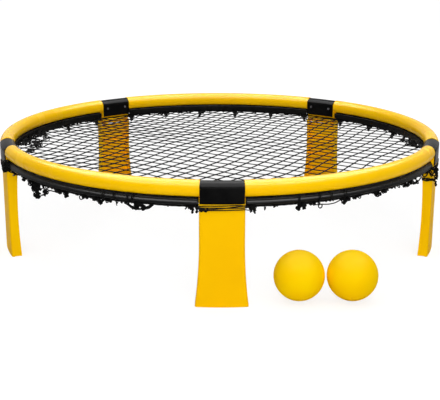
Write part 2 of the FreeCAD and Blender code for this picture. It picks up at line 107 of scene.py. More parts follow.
saddle_low, saddle_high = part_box("joint_saddle_front")
SADDLE_LENGTH = 0.0746
SADDLE_TOP_Z = saddle_high.z
SKIRT_BOTTOM_Z = saddle_low.z
SADDLE_HALF_DEPTH = 0.0150
SADDLE_SHOULDER_Z = HOOP_HEIGHT + 0.0055
SADDLE_WALL = 0.0020
SADDLE_LIP = 0.0006
SADDLE_ARCH_POINTS = 25
SADDLE_SIDE_STEPS = 5
SADDLE_STEPS = 19

BLOCK_HALF = 0.0397
BLOCK_BACK_RHO = 0.4388
HOOKS_PER_RAIL = 6
HOOK_FROM_BLOCK = 0.0119
RAIL_END_GAP = 0.0010

net_low, net_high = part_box("net")
NET_Z = (net_low.z + net_high.z) / 2
EDGE_CORD_RADIUS = 0.0023
EDGE_CORD_RHO = 0.4448

# The slack's and the borders' twine, and the twines of the net's two directions
TWINE_RADIUS = 0.00105
TWINE_RADII = (0.00122, 0.00100)


def angle_of(tangent):
    return degrees(asin(tangent / TUBE_RHO))


def from_station(angle, reach, aside, height):
    """A point given by its reach along a station's direction and its distance aside."""
    turn = radians(angle)
    x = reach * cos(turn) - aside * sin(turn)
    y = reach * sin(turn) + aside * cos(turn)
    return np.array([x, y, height])


def polar(angle, rho, height):
    return from_station(angle, rho, 0.0, height)


def on_cord(angle, drop=0.0):
    """A point on the edge cord's way round, or below it by a drop."""
    return polar(angle, EDGE_CORD_RHO, NET_Z - drop)


STATIONS = [FRONT_JOINT_ANGLE + index * STATION_STEP for index in range(len(JOINT_NAMES))]
HOOK_END = STATION_STEP / 2 - angle_of(BLOCK_HALF + HOOK_FROM_BLOCK)
RAIL_HOOKS = [station + STATION_STEP / 2 + np.linspace(-HOOK_END, HOOK_END, HOOKS_PER_RAIL)
              for station in STATIONS]
ALL_HOOKS = [hook for hooks in RAIL_HOOKS for hook in hooks]


# Meshes
class Surface:
    """Collects the grids and caps of one piece, with lengths in metres as UVs."""

    def __init__(self):
        self.points = []
        self.faces = []
        self.uvs = []
        self.count = 0

    def grid(self, rows, loop=False):
        """Rows of points, each a closed ring; a loop joins the last row to the first."""
        rows = np.asarray(rows, float)
        along, around = rows.shape[:2]
        first = self.count
        self.points.append(rows.reshape(-1, 3))
        self.count += along * around
        round_steps = np.linalg.norm(np.roll(rows, -1, 1) - rows, axis=2).mean(0)
        along_steps = np.linalg.norm(np.roll(rows, -1, 0) - rows, axis=2).mean(1)
        u = np.concatenate([[0], np.cumsum(round_steps)])
        v = np.concatenate([[0], np.cumsum(along_steps)])
        i, j = np.meshgrid(np.arange(along if loop else along - 1), np.arange(around),
                           indexing="ij")
        i, j = i.ravel(), j.ravel()
        near, far = first + i * around, first + (i + 1) % along * around
        side = (j + 1) % around
        self.faces += np.stack([near + j, near + side, far + side, far + j], 1).tolist()
        corners = [(u[j], v[i]), (u[j + 1], v[i]), (u[j + 1], v[i + 1]), (u[j], v[i + 1])]
        self.uvs.append(np.stack([np.stack(c, 1) for c in corners], 1).reshape(-1, 2))
        return first

    def cap(self, first, ring, flip=False):
        order = list(range(first, first + len(ring)))
        flat = np.asarray(ring, float)[:, :2]
        self.faces.append(order[::-1] if flip else order)
        self.uvs.append(flat[::-1] if flip else flat)

    def closed_run(self, rows):
        """A grid whose two ends are capped."""
        first = self.grid(rows)
        self.cap(first, rows[0], flip=True)
        self.cap(first + (len(rows) - 1) * len(rows[0]), rows[-1])

    def made(self, name, material, slot, body=ROOT, stands_for=(), mend_normals=False):
        mesh = bpy.data.meshes.new(name)
        mesh.from_pydata(np.concatenate(self.points).tolist(), [], self.faces)
        layer = mesh.uv_layers.new(name="lay")
        layer.data.foreach_set("uv", np.concatenate(self.uvs).astype(np.float32).ravel())
        mesh.polygons.foreach_set("use_smooth", [True] * len(mesh.polygons))
        mesh.materials.append(material)
        if mend_normals:
            turn_outward(mesh)
        mesh.validate()
        mesh.update()
        piece = added(name, mesh)
        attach(piece, body)
        if stands_for:
            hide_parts(*stands_for)


def turn_outward(mesh):
    shape = bmesh.new()
    shape.from_mesh(mesh)
    bmesh.ops.recalc_face_normals(shape, faces=shape.faces)
    shape.to_mesh(mesh)
    shape.free()


def smooth_line(points, step, loop=False):
    """Points a step apart on the smooth curve through a few chosen ones."""
    chosen = np.asarray(points, float)
    if loop:
        padded = np.concatenate([chosen[-1:], chosen, chosen[:2]])
    else:
        padded = np.concatenate([2 * chosen[:1] - chosen[1:2], chosen,
                                 2 * chosen[-1:] - chosen[-2:-1]])
    line = []
    for index in range(1, len(padded) - 2):
        before, here, there, after = padded[index - 1:index + 3]
        parts = max(2, int(np.linalg.norm(there - here) / step) + 1)
        t = np.linspace(0, 1, parts, endpoint=False)[:, None]
        line.append(0.5 * (2 * here + (there - before) * t
                           + (2 * before - 5 * here + 4 * there - after) * t ** 2
                           + (3 * here - before - 3 * there + after) * t ** 3))
    if not loop:
        line.append(chosen[-1:])
    return np.concatenate(line)


def rings_along(line, radii, sides, loop=False, twist=0.0, lobes=0, lobe_depth=0.0):
    """Rings of points round a line, turned as little as possible from one to the next."""
    line = np.asarray(line, float)
    if loop:
        ahead = np.roll(line, -1, 0) - np.roll(line, 1, 0)
    else:
        ahead = np.gradient(line, axis=0)
    ahead /= np.linalg.norm(ahead, axis=1)[:, None]
    aside = np.zeros_like(line)
    start = np.array([0.0, 0.0, 1.0]) if abs(ahead[0][2]) < 0.9 else np.array([1.0, 0.0, 0.0])
    here = start - ahead[0] * start.dot(ahead[0])
    for index, direction in enumerate(ahead):
        here = here - direction * here.dot(direction)
        here = here / np.linalg.norm(here)
        aside[index] = here
    other = np.cross(ahead, aside)
    radii = np.broadcast_to(np.asarray(radii, float), (len(line),))
    gone = np.concatenate([[0], np.cumsum(np.linalg.norm(np.diff(line, axis=0), axis=1))])
    if loop:
        mismatch = atan2(np.dot(np.cross(aside[-1], aside[0]), ahead[0]),
                              np.dot(aside[-1], aside[0]))
        turn = gone / gone[-1] * mismatch
    else:
        turn = np.zeros(len(line))
    angles = np.arange(sides) * 2 * pi / sides
    phase = angles[None, :] + turn[:, None]
    lobe_phase = lobes * (angles[None, :] - twist * gone[:, None])
    size = radii[:, None] * (1 + lobe_depth * np.cos(lobe_phase))
    ring = (np.cos(phase)[..., None] * aside[:, None, :]
            + np.sin(phase)[..., None] * other[:, None, :])
    return line[:, None, :] + ring * size[..., None]


def add_strand(surface, line, radii, sides=6, loop=False, **lay):
    rows = rings_along(line, radii, sides, loop, **lay)
    if loop:
        surface.grid(rows, loop=True)
    else:
        surface.closed_run(rows)


def inset(profile, amount):
    """A closed outline moved inward; the outline runs anticlockwise."""
    profile = np.asarray(profile, float)
    chord = np.roll(profile, -1, 0) - np.roll(profile, 1, 0)
    normal = np.stack([-chord[:, 1], chord[:, 0]], 1)
    normal /= np.linalg.norm(normal, axis=1)[:, None]
    return profile + normal * amount


CORNER_PARTS = 4
NEARLY_STRAIGHT = radians(88)


def rounded(corners):
    """An outline of points (x, y, radius) with its corners rounded."""
    outline = []
    for index, (x, y, radius) in enumerate(corners):
        here = np.array([x, y])
        before = np.array(corners[index - 1][:2]) - here
        after = np.array(corners[(index + 1) % len(corners)][:2]) - here
        before, after = before / np.linalg.norm(before), after / np.linalg.norm(after)
        half = acos(max(-1.0, min(1.0, before.dot(after)))) / 2
        if radius <= 0 or half > NEARLY_STRAIGHT:
            outline.append(here)
            continue
        reach = radius / tan(half)
        start, end = here + before * reach, here + after * reach
        towards = (before + after) / np.linalg.norm(before + after)
        centre = here + towards * radius / sin(half)
        for share in np.linspace(0, 1, CORNER_PARTS + 1):
            point = start * (1 - share) + end * share - centre
            outline.append(centre + point / np.linalg.norm(point) * radius)
    return np.array(outline)


def arc_points(centre, radius, from_degrees, to_degrees, count):
    turns = np.radians(np.linspace(from_degrees, to_degrees, count))
    return np.stack([centre[0] + radius * np.cos(turns), centre[1] + radius * np.sin(turns)], 1)


EDGE_ROUND = 0.0006
EDGE_TURNS = (0, 30, 60, 90)


def over_edge(radius, turns=EDGE_TURNS):
    """Steps over a rounded edge: how far in from the end each is, and how far inset."""
    return [(radius * (1 - cos(q)), radius * (1 - sin(q))) for q in np.radians(turns)]


def stood_up(outline, angle):
    """An outline of distances from the axis and heights, as points at an angle round it."""
    turn = radians(angle)
    reach, height = outline[:, 0], outline[:, 1]
    return np.stack([reach * cos(turn), reach * sin(turn), height], 1)


def swept_stops(start, end, steps, edge_round, turns=EDGE_TURNS):
    """Angles of a sweep about the hoop's axis, with how far its outline is inset at each."""
    near = [(start + degrees(gone / TUBE_RHO), amount)
            for gone, amount in over_edge(edge_round, turns)]
    far = [(start + end - angle, amount) for angle, amount in reversed(near)]
    between = [(angle, 0.0) for angle in np.linspace(near[-1][0], far[0][0], steps + 1)[1:-1]]
    return near + between + far


def swept_rows(outline_at, start, end, steps):
    """Rows of an outline swept about the hoop's axis, its end edges rounded."""
    return [stood_up(outline_at(amount), angle)
            for angle, amount in swept_stops(start, end, steps, EDGE_ROUND)]


# Finishes
class Shading:
    """A node tree with short ways to add nodes and join them."""

    def __init__(self, owner):
        owner.use_nodes = True
        self.tree = owner.node_tree

    def feed(self, target, value):
        if isinstance(value, bpy.types.NodeSocket):
            self.tree.links.new(value, target)
        else:
            target.default_value = value

    def node(self, kind, inputs=None, **settings):
        """A new node; each input takes a value or another node's output."""
        made = self.tree.nodes.new(kind)
        for key, value in settings.items():
            setattr(made, key, value)
        for key, value in (inputs or {}).items():
            self.feed(made.inputs[key], value)
        return made

    def sums(self, operation, *values):
        return self.node("ShaderNodeMath", dict(enumerate(values)), operation=operation).outputs[0]

    def show(self, output, share, first, second):
        """Puts out two nodes' shaders, mixed by a share."""
        mixed = self.node("ShaderNodeMixShader",
                          {0: share, 1: first.outputs[0], 2: second.outputs[0]})
        self.feed(self.tree.nodes[output].inputs["Surface"], mixed.outputs[0])


class Finish(Shading):
    """A Principled material with short ways to add procedural detail."""

    def __init__(self, name, colour, roughness):
        self.material = bpy.data.materials.new(name)
        super().__init__(self.material)
        self.shader = self.tree.nodes["Principled BSDF"]
        self.set("Base Color", (*colour, 1))
        self.set("Roughness", roughness)
        self.place = self.node("ShaderNodeTexCoord").outputs["Object"]

    def set(self, name, value):
        self.feed(self.shader.inputs[name], value)

    def stretched(self, x, y, z):
        return self.node("ShaderNodeMapping", {"Vector": self.place, "Scale": (x, y, z)}).outputs[0]

    def noise(self, scale, detail=3.0, rough=0.5, place=None):
        return self.node("ShaderNodeTexNoise", {
            "Vector": place or self.place, "Scale": scale, "Detail": detail,
            "Roughness": rough}).outputs["Fac"]

    def wave(self, along_u, along_v, distortion):
        """Bands across a combination of the lay's two lengths."""
        lay = self.node("ShaderNodeUVMap", uv_map="lay").outputs["UV"]
        split = self.node("ShaderNodeSeparateXYZ", {0: lay}).outputs
        u = self.sums("MULTIPLY", split["X"], along_u)
        v = self.sums("MULTIPLY", split["Y"], along_v)
        shake = self.sums("MULTIPLY", self.noise(60.0), distortion)
        return self.sums("SINE", self.sums("ADD", self.sums("ADD", u, v), shake))

    def spread(self, value, low, high, low_to=0.0, high_to=1.0):
        return self.node("ShaderNodeMapRange", {
            "Value": value, "From Min": low, "From Max": high,
            "To Min": low_to, "To Max": high_to}).outputs["Result"]

    def mix(self, share, first, second):
        """Two colours mixed by a share; each is three numbers or a node's output."""
        made = self.node("ShaderNodeMix", {"Factor": share}, data_type="RGBA")
        for name, colour in (("A", first), ("B", second)):
            target = [s for s in made.inputs if s.name == name and s.type == "RGBA"][0]
            self.feed(target, (*colour, 1) if isinstance(colour, tuple) else colour)
        return [s for s in made.outputs if s.type == "RGBA"][0]

    def colour(self, output):
        self.set("Base Color", output)

    def roughness(self, value, low, high):
        self.set("Roughness", self.spread(value, 0.3, 0.7, low, high))

    def bump(self, height, distance, strength):
        made = self.node("ShaderNodeBump", {"Height": height, "Distance": distance,
                                            "Strength": strength})
        self.set("Normal", made.outputs["Normal"])


BLACK = (0.003, 0.003, 0.003)
DARK_GREY = (0.0061, 0.0061, 0.0061)


def yellow_plastic(name, bright, deep, roughness, grain, gloss):
    finish = Finish(name, bright, roughness[0])
    clouds = finish.spread(finish.noise(7.0), 0.35, 0.7)
    flow = finish.spread(finish.noise(22.0, place=finish.stretched(1, 1, 0.2)), 0.45, 0.75)
    tone = finish.mix(clouds, bright, deep)
    worn = tuple(min(1.0, c * 1.02 + 0.010) for c in bright)
    scuffs = finish.spread(finish.noise(160.0, 4.0, 0.7, finish.stretched(1, 1, 6)), 0.66, 0.74)
    faint = finish.sums("MULTIPLY", scuffs, 0.35)
    finish.colour(finish.mix(faint, tone, worn))
    finish.roughness(flow, *roughness)
    finish.bump(finish.noise(grain, 2.0), 0.00006, 0.35)
    finish.set("Specular IOR Level", gloss)
    return finish.material


def black_plastic(name, roughness, grain, gloss):
    finish = Finish(name, BLACK, roughness[0])
    clouds = finish.spread(finish.noise(30.0), 0.35, 0.7)
    finish.colour(finish.mix(clouds, BLACK, DARK_GREY))
    finish.roughness(finish.noise(55.0, 4.0, 0.6), *roughness)
    finish.bump(finish.noise(grain, 2.0), 0.00005, 0.3)
    finish.set("Specular IOR Level", gloss)
    return finish.material


def steel():
    finish = Finish("dull_steel", (0.20, 0.20, 0.21), 0.32)
    finish.set("Metallic", 1.0)
    finish.colour(finish.mix(finish.noise(900.0), (0.09, 0.09, 0.10), (0.17, 0.17, 0.18)))
    finish.roughness(finish.noise(400.0), 0.25, 0.42)
    return finish.material


def twine(name, tone, turns_per_metre, radius):
    """Black twisted twine: slanting bands that follow its length."""
    finish = Finish(name, tone, 0.62)
    strands = 2.0
    band = finish.wave(strands / radius, 2 * pi * turns_per_metre, 0.6)
    fuzz = finish.noise(1400.0, 3.0, 0.6)
    lighter = tuple(c * 2.4 + 0.002 for c in tone)
    share = finish.spread(finish.sums("ADD", band, fuzz), -0.2, 1.9)
    finish.colour(finish.mix(share, tone, lighter))
    finish.roughness(fuzz, 0.55, 0.75)
    finish.bump(finish.sums("ADD", band, fuzz), 0.00016, 0.5)
    finish.set("Specular IOR Level", 0.01)
    return finish.material


def ball_rubber():
    finish = Finish("ball_rubber", (1.0, 0.64, 0.0), 0.5)
    clouds = finish.spread(finish.noise(14.0, 4.0), 0.35, 0.7)
    tone = finish.mix(clouds, (1.0, 0.66, 0.0), (1.0, 0.60, 0.0))
    specks = finish.spread(finish.noise(420.0, 3.0, 0.7), 0.68, 0.74)
    finish.colour(finish.mix(finish.sums("MULTIPLY", specks, 0.3), tone, (1.0, 0.72, 0.05)))
    finish.roughness(finish.noise(60.0), 0.42, 0.56)
    finish.bump(finish.noise(1500.0, 2.0), 0.00005, 0.35)
    finish.set("Specular IOR Level", 0.01)
    return finish.material


TUBE_FINISH = yellow_plastic("tube_yellow", bright=(1.0, 0.59, 0.0), deep=(1.0, 0.55, 0.0),
                             roughness=(0.26, 0.34), grain=700.0, gloss=0.06)
MOULDING_FINISH = yellow_plastic("moulded_yellow", bright=(1.0, 0.57, 0.0), deep=(0.98, 0.53, 0.0),
                                 roughness=(0.40, 0.52), grain=1100.0, gloss=0.02)
VALVE_FINISH = yellow_plastic("valve_rubber", bright=(0.95, 0.52, 0.0), deep=(0.90, 0.48, 0.0),
                              roughness=(0.5, 0.6), grain=900.0, gloss=0.1)
SADDLE_FINISH = black_plastic("saddle_black", roughness=(0.20, 0.30), grain=1500.0, gloss=0.015)
RAIL_FINISH = black_plastic("rail_black", roughness=(0.24, 0.34), grain=1300.0, gloss=0.06)
STEEL_FINISH = steel()
TWINE_FINISH = twine("net_twine", (0.004, 0.004, 0.004), 260.0, TWINE_RADIUS)
EDGE_CORD_FINISH = twine("edge_cord", (0.005, 0.005, 0.005), 90.0, EDGE_CORD_RADIUS)
BALL_FINISH = ball_rubber()


def paint(node, material):
    nodes[node].data.materials.clear()
    nodes[node].data.materials.append(material)


for joint in JOINT_NAMES:
    paint("joint_core_" + joint, MOULDING_FINISH)
    paint("leg_" + joint, MOULDING_FINISH)
    paint("saddle_screws_" + joint, STEEL_FINISH)
    paint("hinge_pin_" + joint, STEEL_FINISH)
for section in SECTION_NAMES:
    paint("rail_screws_" + section, STEEL_FINISH)
for side in SIDES:
    paint("ball_valve_" + side, VALVE_FINISH)


# Tubes of the hoop
def add_tubes():
    turns = np.arange(TUBE_SIDES) * 2 * pi / TUBE_SIDES
    circle = np.stack([np.cos(turns), np.sin(turns)], 1)
    end = angle_of(SADDLE_LENGTH / 2 + TUBE_END_GAP)
    for section, station in zip(SECTION_NAMES, STATIONS):
        low, high = station + end, station + STATION_STEP - end
        stops = swept_stops(low, high, TUBE_STEPS, TUBE_LIP, TUBE_LIP_TURNS)
        stops += [(angle, TUBE_WALL) for angle in np.linspace(high, low, BORE_STEPS + 1)]
        rows = [stood_up(circle * (TUBE_RADIUS - amount) + (TUBE_RHO, HOOP_HEIGHT), angle)
                for angle, amount in stops]
        surface = Surface()
        surface.grid(rows, loop=True)
        surface.made("hoop_tube_" + section, TUBE_FINISH, slot="yellow_tube",
                     stands_for=["rim_tube_" + section], mend_normals=True)


add_tubes()


# Black saddles over the joints
def saddle_side(inset_by):
    """The saddle's outer face, inset, from the foot of one skirt to the other's."""
    z_low = SKIRT_BOTTOM_Z + SADDLE_LIP
    half = SADDLE_HALF_DEPTH - inset_by
    rise = SADDLE_TOP_Z - inset_by - SADDLE_SHOULDER_Z
    radius = (half ** 2 + rise ** 2) / (2 * rise)
    centre = (TUBE_RHO, SADDLE_SHOULDER_Z + rise - radius)
    turn = degrees(asin(half / radius))
    arch = arc_points(centre, radius, 90 - turn, 90 + turn, SADDLE_ARCH_POINTS)
    heights = np.linspace(z_low, SADDLE_SHOULDER_Z, SADDLE_SIDE_STEPS + 1)[:-1]
    outer = [(TUBE_RHO + half, z) for z in heights]
    inner = [(TUBE_RHO - half, z) for z in heights[::-1]]
    return np.concatenate([outer, arch, inner])


def saddle_outline(amount):
    """The saddle's wall as one closed outline, inset by an amount."""
    out_rho, in_rho = TUBE_RHO + SADDLE_HALF_DEPTH, TUBE_RHO - SADDLE_HALF_DEPTH
    inner_lip = [(in_rho + SADDLE_LIP, SKIRT_BOTTOM_Z),
                 (in_rho + SADDLE_WALL - SADDLE_LIP, SKIRT_BOTTOM_Z)]
    outer_lip = [(out_rho - SADDLE_WALL + SADDLE_LIP, SKIRT_BOTTOM_Z),
                 (out_rho - SADDLE_LIP, SKIRT_BOTTOM_Z)]
    return inset(np.concatenate([saddle_side(0), inner_lip, saddle_side(SADDLE_WALL)[::-1],
                                 outer_lip]), amount)


def add_saddles():
    half = angle_of(SADDLE_LENGTH / 2)
    for joint, station in zip(JOINT_NAMES, STATIONS):
        surface = Surface()
        surface.closed_run(swept_rows(saddle_outline, station - half, station + half,
                                      SADDLE_STEPS))
        surface.made("saddle_" + joint, SADDLE_FINISH, slot="black_saddle",
                     stands_for=["joint_saddle_" + joint], mend_normals=True)


add_saddles()

# Hook rails under the tubes
RAIL_HALF_WIDTH = 0.0105
RAIL_BOTTOM_Z = 0.1845
RAIL_WALL = 0.0024
RAIL_WEB_Z = 0.1948
RAIL_SEAT_RADIUS = TUBE_RADIUS + 0.0002
RAIL_BULGE = 0.0017
RAIL_GROOVE = 0.0060
RAIL_SHOULDER_Z = 0.1938
RAIL_GROOVE_TOP_Z = 0.1985
RAIL_INNER_STEP_Z = 0.1962
RAIL_LIP = 0.0008
RAIL_FLARE_SHARE = 0.7
RAIL_FLARE_DROP = 0.0065
RAIL_SHOULDER_TURN = 82
RAIL_SHOULDER_POINTS = 9
RAIL_NECK_RISE = 0.0006
RAIL_STEP_ROUND = 0.0004
RAIL_SEAT_POINTS = 13
RAIL_STEPS = 102
HOOK_BOTTOM_Z = 0.1740
HOOK_TOE_TOP_Z = 0.1786
HOOK_TIP_TOP_Z = 0.1826
HOOK_INNER_RHO = 0.4388
HOOK_TIP_RHO = 0.4472
HOOK_TIP_THICKNESS = 0.0018
HOOK_WIDTH = 0.0060
HOOK_EDGE_ROUND = 0.0005


def rail_outline(amount):
    """A channel that seats the tube: a groove over a rounded shoulder outside, a step inside."""
    outer, inner = TUBE_RHO + RAIL_HALF_WIDTH, TUBE_RHO - RAIL_HALF_WIDTH
    neck = RAIL_HALF_WIDTH - RAIL_GROOVE
    shoulder = RAIL_GROOVE + RAIL_BULGE
    foot = [(outer - RAIL_WALL + RAIL_LIP, RAIL_BOTTOM_Z), (outer - RAIL_LIP, RAIL_BOTTOM_Z),
            (outer, RAIL_BOTTOM_Z + RAIL_LIP),
            (outer + RAIL_BULGE * RAIL_FLARE_SHARE, RAIL_SHOULDER_Z - RAIL_FLARE_DROP)]
    bulge = arc_points((TUBE_RHO + neck, RAIL_SHOULDER_Z - shoulder), shoulder,
                       0, RAIL_SHOULDER_TURN, RAIL_SHOULDER_POINTS)
    groove = [(TUBE_RHO + neck, RAIL_SHOULDER_Z + RAIL_NECK_RISE),
              (TUBE_RHO + neck, RAIL_GROOVE_TOP_Z)]
    turn = degrees(asin(neck / RAIL_SEAT_RADIUS))
    seat = arc_points((TUBE_RHO, HOOP_HEIGHT), RAIL_SEAT_RADIUS, 270 + turn, 270 - turn,
                      RAIL_SEAT_POINTS)
    inside = rounded([(TUBE_RHO - neck, RAIL_GROOVE_TOP_Z, 0),
                      (TUBE_RHO - neck, RAIL_INNER_STEP_Z, RAIL_STEP_ROUND),
                      (inner, RAIL_INNER_STEP_Z, RAIL_LIP), (inner, RAIL_BOTTOM_Z, RAIL_LIP),
                      (inner + RAIL_WALL - RAIL_LIP, RAIL_BOTTOM_Z, 0)])
    room_in, room_out = inner + RAIL_WALL, outer - RAIL_WALL
    room = [(room_in, RAIL_BOTTOM_Z + RAIL_LIP), (room_in, RAIL_WEB_Z - RAIL_LIP),
            (room_in + RAIL_LIP, RAIL_WEB_Z), (room_out - RAIL_LIP, RAIL_WEB_Z),
            (room_out, RAIL_WEB_Z - RAIL_LIP), (room_out, RAIL_BOTTOM_Z + RAIL_LIP)]
    return inset(np.concatenate([foot, bulge, groove, seat, inside, room]), amount)


def hook_outline():
    tip_outside = HOOK_TIP_RHO + HOOK_TIP_THICKNESS
    return rounded([
        (HOOK_INNER_RHO, HOOK_BOTTOM_Z, 0.0012),
        (tip_outside, HOOK_BOTTOM_Z, 0.0012),
        (tip_outside, HOOK_TIP_TOP_Z, 0.0008),
        (HOOK_TIP_RHO, HOOK_TIP_TOP_Z, 0.0006),
        (HOOK_TIP_RHO, HOOK_TOE_TOP_Z, 0.0008),
        (TUBE_RHO, HOOK_TOE_TOP_Z, 0.0010),
        (TUBE_RHO, RAIL_WEB_Z, 0),
        (HOOK_INNER_RHO, RAIL_WEB_Z, 0),
    ])


def add_hook(surface, angle):
    """A hook's outline, pushed to its width with its side edges rounded."""
    outline = hook_outline()
    stops = [(gone - HOOK_WIDTH / 2, amount) for gone, amount in over_edge(HOOK_EDGE_ROUND)]
    stops += [(-aside, amount) for aside, amount in reversed(stops)]
    surface.closed_run([[from_station(angle, x, aside, z) for x, z in inset(outline, amount)]
                        for aside, amount in stops])


def add_rails():
    end = angle_of(BLOCK_HALF + RAIL_END_GAP)
    for section, station, hooks in zip(SECTION_NAMES, STATIONS, RAIL_HOOKS):
        surface = Surface()
        surface.closed_run(swept_rows(rail_outline, station + end, station + STATION_STEP - end,
                                      RAIL_STEPS))
        for hook in hooks:
            add_hook(surface, hook)
        surface.made("rail_" + section, RAIL_FINISH, slot="black_rail",
                     stands_for=["hook_rail_" + section], mend_normals=True)


add_rails()

# The net. Its knots lie on a square lattice that is pulled out of square, as
# a few long waves across the hoop describe, and is pulled in at each hook. The
# waves' amplitudes, in metres, come from a separate program's least-squares fit
# to the net's lines in the photograph.
MESH_PITCH = 0.0273
MESH_TURN = radians(-33)
MESH_HALF_COUNT = 19
WAVE_LENGTH = 1.10
KNOT_JITTER = 0.0005
HOOK_PULL_RHO = 0.4400
HOOK_PULL_REACH = 0.026
HOOK_PULL_SHARE = 0.42
NET_EDGE_RHO = 0.4430
BEHIND_BLOCK = BLOCK_BACK_RHO - 0.0016
NOTCH_HALF = BLOCK_HALF + 0.0020
NOTCH_MARGIN = 0.0040
KNOT_LIFT = 0.0003
KNOT_SWELL = 0.0003
KNOT_REACH = 0.0018
TWINE_BOW = 0.00025
TWINE_SAG = 0.0003
TWINE_SHARES = (0.0, 0.045, 0.10, 0.25, 0.5, 0.75, 0.90, 0.955)
SLIP_ROUNDS = 12
EDGE_HALVINGS = 20

U_AXIS = np.array([cos(MESH_TURN), sin(MESH_TURN)])
V_AXIS = np.array([-sin(MESH_TURN), cos(MESH_TURN)])


def pulled_to_hooks(place):
    for angle in ALL_HOOKS:
        hook = polar(angle, HOOK_PULL_RHO, 0)[:2]
        gap = hook - place
        place = place + gap * HOOK_PULL_SHARE * exp(-gap.dot(gap) / HOOK_PULL_REACH ** 2)
    return place


def slip_along_u(place):
    """How far the net is pulled out of square along its first direction."""
    x, y = place * 2 * pi / WAVE_LENGTH
    return (0.0045 + 0.0075 * sin(y) - 0.0030 * cos(3 * y)
            - 0.0034 * cos(x) * sin(y) - 0.0078 * cos(x) * cos(y)
            + 0.0081 * cos(x) * cos(3 * y) - 0.0017 * sin(x) * cos(y)
            - 0.0065 * sin(x) * sin(3 * y) + 0.0030 * sin(x) * cos(3 * y)
            - 0.0042 * sin(2 * x) * cos(2 * y))


def slip_along_v(place):
    """The same along its second direction."""
    x, y = place * 2 * pi / WAVE_LENGTH
    return (0.0019 - 0.0124 * cos(y) - 0.0072 * sin(x) + 0.0047 * cos(x)
            - 0.0177 * sin(x) * sin(y) + 0.0033 * sin(x) * sin(2 * y)
            + 0.0051 * cos(x) * sin(y) + 0.0080 * sin(2 * x) * cos(y)
            - 0.0063 * cos(2 * x) * sin(y) - 0.0025 * sin(3 * x) * cos(y))


def knot_place(u, v):
    """Where a knot of the net lies when the net is stretched on its hooks."""
    place = u * U_AXIS + v * V_AXIS
    for _ in range(SLIP_ROUNDS):
        place = (u - slip_along_u(place)) * U_AXIS + (v - slip_along_v(place)) * V_AXIS
    return place


def inside_net(point):
    if hypot(point[0], point[1]) > NET_EDGE_RHO:
        return False
    for station in STATIONS:
        turn = radians(station)
        reach = point[0] * cos(turn) + point[1] * sin(turn)
        aside = -point[0] * sin(turn) + point[1] * cos(turn)
        if reach > BEHIND_BLOCK and abs(aside) < NOTCH_HALF:
            return False
    return True


def beside_block(angle):
    """Whether an angle lies in a notch of the net or close beside it."""
    past = (angle - FRONT_JOINT_ANGLE) % STATION_STEP
    return min(past, STATION_STEP - past) < angle_of(NOTCH_HALF + NOTCH_MARGIN)


def net_end(inner, outer):
    """Where the way from a knot inside to one outside meets the net's edge."""
    low, high = 0.0, 1.0
    for _ in range(EDGE_HALVINGS):
        middle = (low + high) / 2
        if inside_net(inner + (outer - inner) * middle):
            low = middle
        else:
            high = middle
    x, y, _ = inner + (outer - inner) * low
    return np.array([x, y, NET_Z])


def net_knots(numbers):
    """Every knot's point by its two numbers in the mesh."""
    draw = random.Random(11)
    knots = {}
    for i in numbers:
        for j in numbers:
            place = knot_place(i * MESH_PITCH, j * MESH_PITCH)
            shake = np.array([draw.gauss(0, KNOT_JITTER), draw.gauss(0, KNOT_JITTER)])
            height = NET_Z + draw.gauss(0, KNOT_LIFT)
            knots[i, j] = np.array([*pulled_to_hooks(place + shake), height])
    return knots


def net_lines():
    """The net's twines: which way each runs, and its points with True at a knot."""
    numbers = range(-MESH_HALF_COUNT, MESH_HALF_COUNT + 1)
    knots = net_knots(numbers)
    lines = []
    for family in (0, 1):
        for first in numbers:
            keys = [(first, k) if family == 0 else (k, first) for k in numbers]
            line = []
            for before, here in zip(keys, keys[1:]):
                start, end = knots[before], knots[here]
                start_in = inside_net(start)
                if inside_net(end):
                    if not start_in:
                        line = [(net_end(end, start), False)]
                    line.append((end, True))
                elif start_in:
                    line.append((net_end(start, end), False))
                    lines.append((family, line))
    return lines


def add_net_line(surface, line, draw, radius):
    """One twine: gentle bows between its knots, and thicker at each knot."""
    points, radii = [], []
    for (start, knot), (end, _) in zip(line, line[1:]):
        way = end - start
        length = hypot(way[0], way[1])
        across = np.array([-way[1], way[0], 0.0]) / length
        bow = draw.gauss(0, TWINE_BOW)
        sag = draw.uniform(0.0, TWINE_SAG)
        for share in TWINE_SHARES:
            hump = 4 * share * (1 - share)
            points.append(start + way * share + (across * bow - (0.0, 0.0, sag)) * hump)
            near = min(share, 1 - share) * length
            swell = KNOT_SWELL * exp(-(near / KNOT_REACH) ** 2)
            at_edge = share < 0.5 and not knot
            radii.append(radius + (0 if at_edge else swell))
    points.append(line[-1][0])
    radii.append(radius)
    add_strand(surface, points, radii, sides=8)


def add_net():
    draw = random.Random(5)
    surface = Surface()
    lines = net_lines()
    for family, line in lines:
        add_net_line(surface, line, draw, TWINE_RADII[family])
    surface.made("net_mesh", TWINE_FINISH, slot="net_netting", stands_for=["net"])
    return [line[end][0] for end in (0, -1) for _, line in lines]


net_ends = add_net()

# Edge cord, laid over the hooks' toes and round the front of each block, where
# it is pulled thin
CORD_ROUND_BLOCK = [
    (0.4576, 0.0000), (0.4573, 0.0160), (0.4566, 0.0300), (0.4560, 0.0364),
    (0.4542, 0.0402), (0.4508, 0.0421), (0.4475, 0.0441), (0.4452, 0.0472),
]
CORD_SAG = 0.0009
CORD_SAG_RANGE = (0.4, 1.3)
CORD_DROP_SHARE = 0.6
CORD_FIT = 0.93
CORD_STEP = 0.0015
CORD_SIDES = 18
CORD_LOBES = 3
CORD_LOBE_DEPTH = 0.07
CORD_TWIST = 170.0
BLOCK_CORD_RHO = 0.4530
BLOCK_CORD_FADE = 0.0045
BLOCK_CORD_THINNING = 0.58


